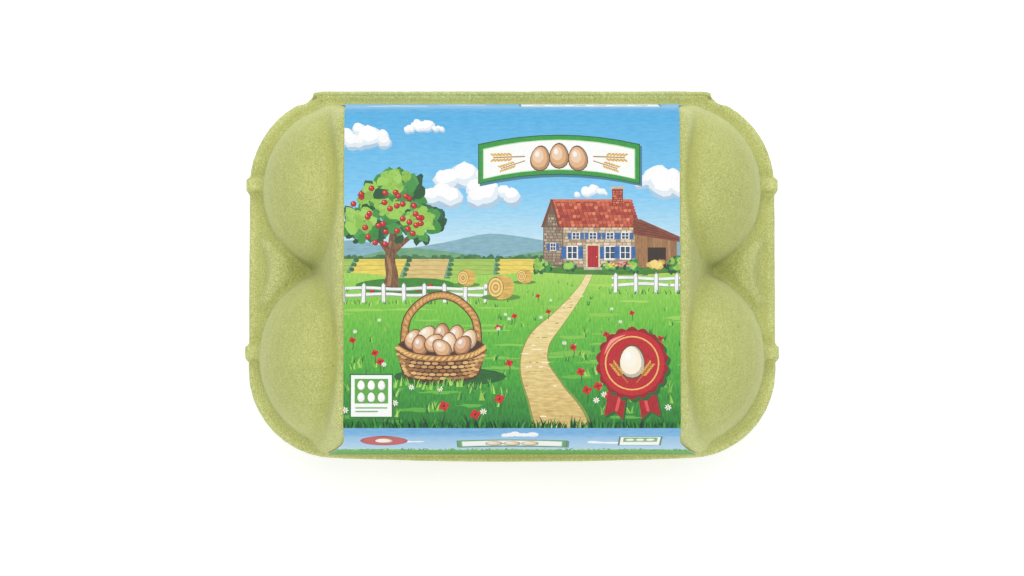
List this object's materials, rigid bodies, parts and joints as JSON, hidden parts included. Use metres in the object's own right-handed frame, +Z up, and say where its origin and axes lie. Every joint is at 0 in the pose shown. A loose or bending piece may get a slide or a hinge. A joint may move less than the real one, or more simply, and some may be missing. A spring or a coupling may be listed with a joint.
{
  "type": "egg carton",
  "caption": "Shut moulded-pulp egg carton: tray of fluted cups, hinged lid with domes at its ends and a raised middle, and a printed paper wrap over the lid.",
  "frame": {"origin": "on the table under the middle of the carton's bounding box", "axes": "+X along the carton's long side, +Y towards the hinge at the back, +Z up"},
  "size_m": [0.1518, 0.1062, 0.068],
  "materials": {
    "pulp": "matt yellow-green moulded pulp",
    "printed_paper": "smooth printed paper with a slight gloss"
  },
  "bodies": {
    "root": {"tray": "pulp", "lid": "pulp", "wrap": "printed_paper"}
  },
  "joints": []
}
